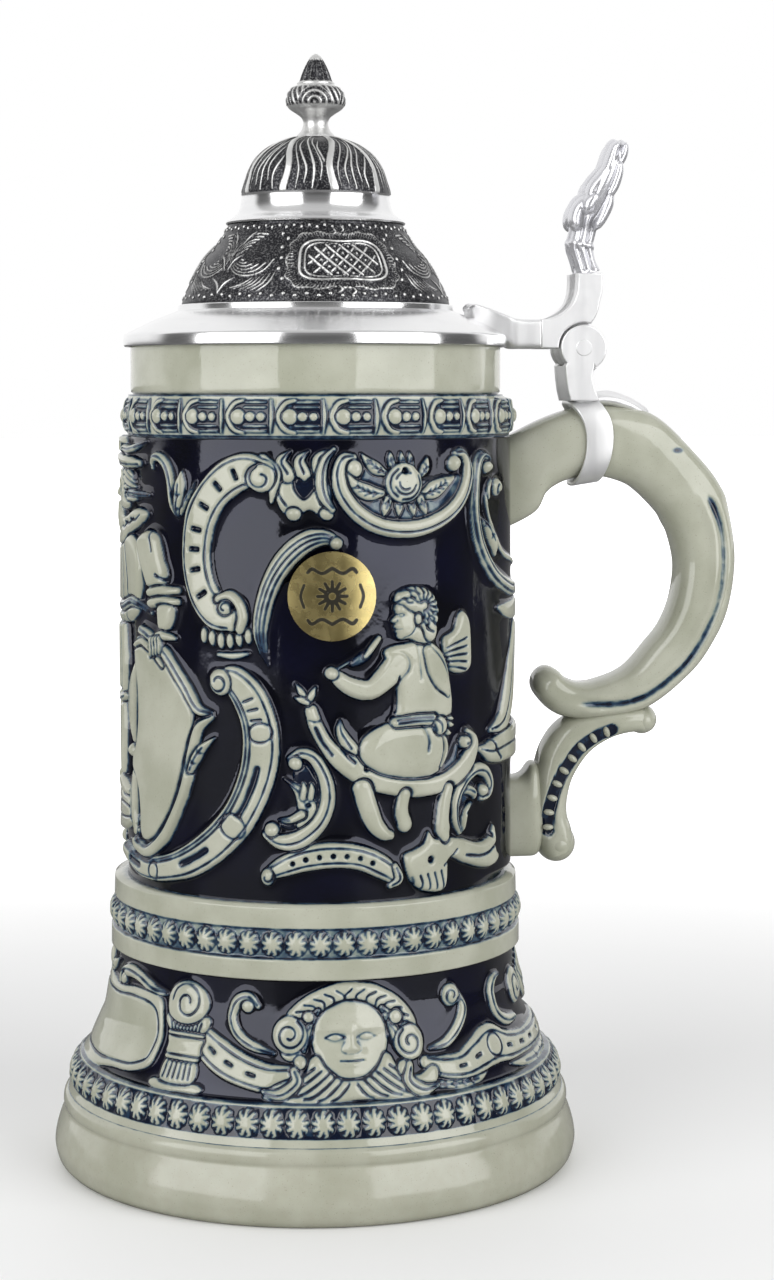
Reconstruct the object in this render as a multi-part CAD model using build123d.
from build123d import *
import os

# Relief beer stein: a salt-glazed stoneware mug with a scroll handle and a hinged pewter lid.
# Millimetres, +Z up. The origin is the centre of the foot, on the table. The handle points along +X.

# Driving dimensions of the mug
FOOT_RADIUS = 63.4
FOOT_EDGE = 61.6            # radius of the edge that stands on the table
FRIEZE_RADIUS = 48.2        # envelope of the moulded relief on the tall drum
LIP_RADIUS = 45.3
BORE_RADIUS = 40.8
MUG_HEIGHT = 199.0
LIP_ROUNDING = 1.6          # height over which the lip's top is rounded
FLOOR_TOP = 12.0
FOOT_RECESS = 3.0
FOOT_RING_INNER = 52.0
BAND_LOW = 52.8             # bottom of the plain bands with the upper bead row
DRUM_LOW = 69.6             # bottom of the tall drum
DRUM_HIGH = 175.0

# Driving dimensions of the hinge
PIN_X = 65.3
PIN_Z = 196.8
PIN_RADIUS = 2.1
PIN_CLEARANCE = 0.05        # radial, in the turning knuckle
KNUCKLE_RADIUS = 5.7
SWEEP_RADIUS = 6.2          # the lever casting is hollowed to this round the two ears
HINGE_WIDTH = 17.0
KNUCKLE_WIDTH = 8.0
SIDE_GAP = 0.15
PIN_HEAD = 0.1              # how far each peened end stands out of its ear
LEVER_WIDTH = 16.4
SEAM_X = 54.8               # where the hinge casting is soldered to the shank
SEAM_TOP = 203.9
BLOCK_TOP = 215.2           # top of the hinge casting, which carries the thumb-lift
BLOCK_FRONT = 63.8
BLOCK_BACK = 70.0
SADDLE_Z = 184.6            # where the lug meets the top of the handle

# Driving dimensions of the lid
LID_RADIUS = 47.0
LID_GAP = 0.05              # between the lid's seat face and the mug's lip
RIM_BOTTOM = 197.0
RIM_TOP = 199.8
RIM_INNER = 45.9            # inside of the rim, which hangs over the lip
CONE_EDGE = (46.6, 200.4)   # foot of the flange's cone
CONE_TOP = (34.5, 206.0)
SEAT_OUTER = 39.8
SEAT_INNER = 38.0
SEAT_BOTTOM = 193.4
COLLAR_RADIUS = 33.0
COLLAR_BORE = 31.0
BAND_BOTTOM = 207.0
NECK_BOTTOM = 227.0
NECK_RADIUS = 22.0
NECK_BORE = 20.2
DOME_BOTTOM = 234.3
DOME_RADIUS = 18.45
DOME_BORE = 16.4
FINIAL_BOTTOM = 250.8
FINIAL_NECK = 3.6
TIP_HEIGHT = 269.1

# Handle and label
HANDLE_WIDTH = 17.0
HANDLE_EDGE = 3.0
SCROLL_WIDTH = 15.0
SCROLL_EDGE = 2.0
BAND_THICKNESS = 1.0
BAND_TOP = 184.2
BAND_UNDERSIDE = 163.4
LABEL_RADIUS = 10.0
LABEL_THICKNESS = 0.2
LABEL_HEIGHT = 139.6
LABEL_ANGLE = -90.0         # round from the handle, towards -Y


def turned(half_section):
    """Turn a closed half section, drawn on the XZ plane, about the Z axis."""
    return revolve(Plane.XZ * half_section, Axis.Z)


def closed_face(edges):
    """A flat face from edges that meet end to end."""
    return make_face(Curve() + list(edges))


def chain(points):
    """Straight edges through a list of points."""
    return [Line(a, b) for a, b in zip(points, points[1:])]


def side_plate(face, width):
    """A plate of the given width, centred on the XZ plane, with a side outline drawn in X and Z."""
    return extrude(Plane.XZ * face, width / 2, both=True)


def hinge_bar(radius, width):
    """A round bar on the hinge axis, centred on the XZ plane."""
    return side_plate(Pos(PIN_X, PIN_Z) * Circle(radius), width)


def mug_outline():
    """Outer edges of the mug's half section, from the foot ring up to the lip."""
    foot = ThreePointArc((FOOT_EDGE, 0), (FOOT_RADIUS, 5.6), (61.4, 13.5))
    foot_fillet = ThreePointArc((61.4, 13.5), (61.2, 15.6), (60.2, 17.5))
    bead_row_low = ThreePointArc((60.2, 17.5), (60.3, 22.6), (57.5, 25.9))
    plinth = Spline((57.5, 25.9), (54.5, 31.6), (51.6, 39.5), (50.0, BAND_LOW), tangents=((-0.5, 1), (0, 1)))
    band_low = Line((50.0, BAND_LOW), (49.4, 57.2))
    bead_row_high = ThreePointArc((49.4, 57.2), (50.4, 60.6), (48.8, 64))
    band_high = Line((48.8, 64), (49.0, 69.2))
    step = Line((49.0, 69.2), (FRIEZE_RADIUS, DRUM_LOW))
    frieze = Line((FRIEZE_RADIUS, DRUM_LOW), (FRIEZE_RADIUS, DRUM_HIGH))
    groove = Line((FRIEZE_RADIUS, DRUM_HIGH), (46, 175.6))
    top_band = ThreePointArc((46, 175.6), (47.6, 180.8), (45.9, 185.2))
    lip = Line((45.9, 185.2), (LIP_RADIUS, 185.8))
    lip_wall = Line((LIP_RADIUS, 185.8), (LIP_RADIUS, MUG_HEIGHT - LIP_ROUNDING))
    return [foot, foot_fillet, bead_row_low, plinth, band_low, bead_row_high, band_high, step, frieze,
            groove, top_band, lip, lip_wall]


def mug_envelope():
    """The mug without its cavity, used to cut whatever is joined to its outside."""
    top = MUG_HEIGHT - LIP_ROUNDING
    closing = chain([(LIP_RADIUS, top), (0, top), (0, 0), (FOOT_EDGE, 0)])
    return turned(closed_face(mug_outline() + closing))


def mug_body():
    """The moulded drum, with its drinking cavity and recessed underside."""
    lip_middle = (LIP_RADIUS + BORE_RADIUS) / 2
    lip_edge = MUG_HEIGHT - LIP_ROUNDING
    flare_top = (BORE_RADIUS, 64)
    flare_bottom = (50, 22)
    floor_edge = (42, FLOOR_TOP)
    rim = ThreePointArc((LIP_RADIUS, lip_edge), (lip_middle, MUG_HEIGHT), (BORE_RADIUS, lip_edge))
    wall = Line((BORE_RADIUS, lip_edge), flare_top)
    flare = Spline(flare_top, (43.6, 44), flare_bottom, tangents=((0, -1), (0.35, -1)))
    corner = ThreePointArc(flare_bottom, (48.6, 14.8), floor_edge)
    floor = chain([floor_edge, (0, FLOOR_TOP), (0, FOOT_RECESS), (FOOT_RING_INNER - 2, FOOT_RECESS),
                   (FOOT_RING_INNER, 0), (FOOT_EDGE, 0)])
    return turned(closed_face(mug_outline() + [rim, wall, flare, corner] + floor))


def handle_bow():
    """The tube from under the lip, round the grip and back to its lower volute."""
    outer = [(44, 173.2), (55.7, 179.3), (70, 183.2), (86, 179), (96.1, 169), (102.4, 158.5), (104.3, 145),
             (102.6, 132.5), (92.8, 116), (82, 107.6), (70, 105), (60, 106.9)]
    volute = [(53.2, 112), (53.6, 117), (58, 119)]
    inner = [(65, 115.6), (74, 117.6), (83.4, 125), (89.4, 137), (88.4, 149), (82.6, 159.4), (71, 164.8),
             (57, 160.5), (44, 147.6)]
    bow = side_plate(closed_face([Spline(outer + volute + inner), Line(inner[-1], outer[0])]), HANDLE_WIDTH)
    return fillet(bow.edges().filter_by(GeomType.LINE, reverse=True), HANDLE_EDGE)


def handle_scroll():
    """The S scroll below the bow, from its curl at the outside down to the mug's drum."""
    top = [(44, 86.5), (52.5, 95.5), (62, 107), (73, 110)]
    curl = [(81.5, 109), (84.6, 105), (81.5, 101.2)]
    under = [(72, 96.4), (64.2, 85.5), (64.4, 76.5), (58.4, 69.8), (51.5, 72.4), (44, 73.4)]
    scroll = side_plate(closed_face([Spline(top + curl + under), Line(under[-1], top[0])]), SCROLL_WIDTH)
    return fillet(scroll.edges().filter_by(GeomType.LINE, reverse=True), SCROLL_EDGE)


def handle():
    """The whole stoneware handle, butted against the outside of the drum."""
    return handle_bow() + handle_scroll() - mug_envelope()


def lug_profile():
    """Side outline of one ear's neck, down to the saddle on the handle."""
    ear_foot = PIN_Z - 3.6
    ear_half = 4.2
    corners = [(PIN_X - ear_half, ear_foot), (61.2, 188), (60.4, SADDLE_Z), (59.8, 178), (70.5, 178),
               (69.4, SADDLE_Z), (68.4, 188), (PIN_X + ear_half, ear_foot)]
    return closed_face(chain(corners + corners[:1]))


def hinge_lug(handle_solid):
    """Two ears on one foot, with a leaf-shaped tang along the top of the handle."""
    neck = side_plate(lug_profile(), HINGE_WIDTH)
    ears = hinge_bar(KNUCKLE_RADIUS, HINGE_WIDTH)
    slot_width = KNUCKLE_WIDTH + 2 * SIDE_GAP
    slot = hinge_bar(SWEEP_RADIUS, slot_width)
    tang_start = (66, 186.2)
    tang_tip = (84.6, 180.6)
    tang_top = Spline(tang_start, (73, 186.4), (79.5, SADDLE_Z), tang_tip)
    tang_side = closed_face([tang_top] + chain([tang_tip, (80, 176), (66, 178), tang_start]))
    tang_half = [(62, -6.5), (72, -6.2), (80, -4.6), (85, 0)]
    tang_edge = tang_half + [(x, -y) for x, y in reversed(tang_half[:-1])]
    tang_plan = closed_face([Spline(tang_edge), Line(tang_edge[-1], tang_edge[0])])
    tang = side_plate(tang_side, HANDLE_WIDTH) & extrude(Pos(0, 0, 170) * tang_plan, 20)
    solid = neck + ears - slot + tang - handle_solid
    return solid - hinge_bar(PIN_RADIUS, 2 * HINGE_WIDTH)


def strap_band(handle_solid, lug_solid):
    """The pewter band that clasps the handle below the lug."""
    outline = closed_face(chain([(63.4, 186), (70.6, 186), (73.6, 161.5), (65.6, 161.5), (63.4, 186)]))
    outer_width = HANDLE_WIDTH + 2 * BAND_THICKNESS
    middle = (BAND_TOP + BAND_UNDERSIDE) / 2
    tube = RectangleRounded(outer_width, BAND_TOP - BAND_UNDERSIDE, HANDLE_EDGE + BAND_THICKNESS)
    blank = side_plate(outline, outer_width) & extrude(Plane.YZ * Pos(0, middle) * tube, 90)
    return blank - handle_solid - lug_solid


def hinge_pin():
    """The peened pin, pressed into both ears."""
    return hinge_bar(PIN_RADIUS, HINGE_WIDTH + 2 * PIN_HEAD)


def lid_flange():
    """The broad turned rim, which closes over the lip."""
    seat = MUG_HEIGHT + LID_GAP
    top = [(LID_RADIUS, RIM_BOTTOM), (LID_RADIUS, RIM_TOP), CONE_EDGE, CONE_TOP, (COLLAR_RADIUS, BAND_BOTTOM)]
    underside = [(COLLAR_BORE, BAND_BOTTOM), (SEAT_INNER, seat), (RIM_INNER, seat), (RIM_INNER, RIM_BOTTOM)]
    section = chain(top + underside + top[:1])
    return turned(closed_face(section))


def lid_seat_ring():
    """The ring under the flange that centres the lid in the mouth of the mug."""
    seat = MUG_HEIGHT + LID_GAP
    chamfer = 0.8
    section = chain([(SEAT_INNER, seat), (SEAT_OUTER, seat), (SEAT_OUTER, SEAT_BOTTOM + chamfer),
                     (SEAT_OUTER - chamfer, SEAT_BOTTOM), (SEAT_INNER, SEAT_BOTTOM), (SEAT_INNER, seat)])
    return turned(closed_face(section))


def lid_relief_band():
    """The cast collar with the ornament, standing on the flange."""
    outer_foot = (COLLAR_RADIUS, BAND_BOTTOM)
    inner_foot = (COLLAR_BORE, BAND_BOTTOM)
    outer_head = (NECK_RADIUS, NECK_BOTTOM)
    inner_head = (NECK_BORE, NECK_BOTTOM)
    outer = Spline(outer_foot, (31.3, 211.9), (28.1, 217.8), (24.7, 221.8), outer_head)
    inner = Spline(inner_head, (23, 221.6), (26.4, 217), (29.4, 211.6), inner_foot)
    joints = [Line(outer_head, inner_head), Line(inner_foot, outer_foot)]
    return turned(closed_face([outer, inner] + joints))


def lid_neck_ring():
    """The plain hollow moulding between the collar and the dome."""
    outer_foot = (NECK_RADIUS, NECK_BOTTOM)
    inner_foot = (NECK_BORE, NECK_BOTTOM)
    outer_head = (DOME_RADIUS, DOME_BOTTOM)
    inner_head = (DOME_BORE, DOME_BOTTOM)
    outer = Spline(outer_foot, (20.2, 228.7), (18.2, 232.4), outer_head)
    inner = Line(inner_head, inner_foot)
    joints = [Line(outer_head, inner_head), Line(inner_foot, outer_foot)]
    return turned(closed_face([outer, inner] + joints))


def lid_dome():
    """The fluted cap, closed at the top where the finial stands."""
    outer_foot = (DOME_RADIUS, DOME_BOTTOM)
    inner_foot = (DOME_BORE, DOME_BOTTOM)
    ceiling = (0, 247.4)
    outer = Spline(outer_foot, (16.9, 239.6), (13.9, 245.4), (8.6, 248.7), (FINIAL_NECK, FINIAL_BOTTOM))
    top = Line((FINIAL_NECK, FINIAL_BOTTOM), (0, FINIAL_BOTTOM))
    axis = Line((0, FINIAL_BOTTOM), ceiling)
    inner = Spline(ceiling, (7.6, 246.4), (12.4, 243.2), inner_foot, tangents=((1, 0), (0.1, -1)))
    seat = Line(inner_foot, outer_foot)
    return turned(closed_face([outer, top, axis, inner, seat]))


def lid_finial():
    """The turned knob with its pointed bud."""
    foot = (FINIAL_NECK, FINIAL_BOTTOM)
    tip = (0, TIP_HEIGHT)
    knob_edge = (7.5, 257.1)
    bud_edge = (5.3, 261.2)
    neck = Spline(foot, (3.5, 252.2), (6, 254.4), knob_edge)
    knob = Spline(knob_edge, (7.1, 259.4), bud_edge, tangents=((0, 1), (-1, 0.5)))
    bud = Spline(bud_edge, (4.3, 261.9), (2.9, 265.8), (1.5, 268.4), tip, tangents=((-1, 0.1), (-1, 0)))
    axis = chain([tip, (0, FINIAL_BOTTOM), foot])
    return turned(closed_face([neck, knob, bud] + axis))


def lid_envelope():
    """The flange and what lies under it, used to cut the shank that sits on the cone."""
    outside = [(LID_RADIUS, RIM_BOTTOM), (LID_RADIUS, RIM_TOP), CONE_EDGE, CONE_TOP]
    inside = [(COLLAR_RADIUS, BAND_BOTTOM), (0, BAND_BOTTOM), (0, RIM_BOTTOM)]
    section = chain(inside[-1:] + outside + inside)
    return turned(closed_face(section))


def lid_shank():
    """The bar soldered to the lid, ending in a small leaf on the cone."""
    leaf_end = (36.6, 206.2)
    top = Spline(leaf_end, (38.4, 207.9), (43, 206.3), (50, SEAM_TOP), (SEAM_X, SEAM_TOP))
    underside = chain([(SEAM_X, SEAM_TOP), (SEAM_X, RIM_BOTTOM), (44, RIM_BOTTOM), (36.6, 203), leaf_end])
    side = closed_face([top] + underside)
    leaf = [(36.4, -2.6), (39.5, -5.6), (46.5, -6.4), (SEAM_X, -LEVER_WIDTH / 2)]
    mirrored = [(x, -y) for x, y in reversed(leaf)]
    plan = closed_face([Spline(leaf), Line(leaf[-1], mirrored[0]), Spline(mirrored),
                        Line(mirrored[-1], leaf[0])])
    return (side_plate(side, HINGE_WIDTH) & extrude(Pos(0, 0, 190) * plan, 30)) - lid_envelope()


def lever_arm():
    """The hinge casting: bar, turning knuckle and the block that carries the thumb-lift."""
    front_top = (BLOCK_FRONT, BLOCK_TOP)
    back_top = (BLOCK_BACK, BLOCK_TOP)
    heel = (68.1, 204.2)
    front = Spline((SEAM_X, SEAM_TOP), (60.2, 205.6), (63.4, 209.6), front_top, tangents=((1, 0), (0, 1)))
    back = Spline(back_top, (69.9, 211), heel)
    foot = chain([heel, (64, 199), (60, RIM_BOTTOM), (SEAM_X, RIM_BOTTOM), (SEAM_X, SEAM_TOP)])
    arm = side_plate(closed_face([front, Line(front_top, back_top), back] + foot), LEVER_WIDTH)
    arm -= hinge_bar(SWEEP_RADIUS, 2 * HINGE_WIDTH)
    arm += hinge_bar(KNUCKLE_RADIUS, KNUCKLE_WIDTH)
    web = closed_face(chain([(59, 198.5), (59, 204.5), heel, (68, 199), (59, 198.5)]))
    arm += side_plate(web, KNUCKLE_WIDTH)
    return arm - hinge_bar(PIN_RADIUS + PIN_CLEARANCE, 2 * HINGE_WIDTH)


def thumb_lift():
    """The cast lever: a waisted stem that opens into an upright leaf."""
    front_foot = (BLOCK_FRONT, BLOCK_TOP)
    back_foot = (BLOCK_BACK, BLOCK_TOP)
    front = Spline(front_foot, (61.9, 222.1), (62.9, 229), (67, 236.2), (71.4, 243.6), (74.6, 249.6))
    back = Spline((77.4, 247.8), (76.4, 242.8), (73.8, 235.4), (70.6, 228.6), (68.6, 222), back_foot)
    ends = [Line(front @ 1, back @ 0), Line(back @ 1, front @ 0)]
    side = side_plate(closed_face([front, back] + ends), 40)
    half_leaf = [(6, BLOCK_TOP), (5, 222), (6, 227), (9, 232), (10.5, 239), (8.4, 246), (3, 251.6)]
    mirrored = [(-y, z) for y, z in reversed(half_leaf)]
    face = closed_face([Spline(half_leaf), Line(half_leaf[-1], mirrored[0]), Spline(mirrored),
                        Line(mirrored[-1], half_leaf[0])])
    return side & extrude(Plane.YZ * face, 100)


def label_sticker():
    """A round foil seal, bent to the drum."""
    shell = Cylinder(FRIEZE_RADIUS + LABEL_THICKNESS, 40) - Cylinder(FRIEZE_RADIUS, 40)
    punch = extrude(Plane.YZ * Circle(LABEL_RADIUS), 60)
    return Pos(0, 0, LABEL_HEIGHT) * Rot(0, 0, LABEL_ANGLE) * (shell & punch)


handle_solid = handle()
lug_solid = hinge_lug(handle_solid)
pieces = {
    "mug_body": mug_body(),
    "handle": handle_solid,
    "label_sticker": label_sticker(),
    "hinge_lug": lug_solid,
    "strap_band": strap_band(handle_solid, lug_solid),
    "hinge_pin": hinge_pin(),
    "lid_flange": lid_flange(),
    "lid_seat_ring": lid_seat_ring(),
    "lid_relief_band": lid_relief_band(),
    "lid_neck_ring": lid_neck_ring(),
    "lid_dome": lid_dome(),
    "lid_finial": lid_finial(),
    "lid_shank": lid_shank(),
    "lever_arm": lever_arm(),
    "thumb_lift": thumb_lift(),
}
os.makedirs("parts", exist_ok=True)
for name, solid in pieces.items():
    export_step(solid, f"parts/{name}.step")
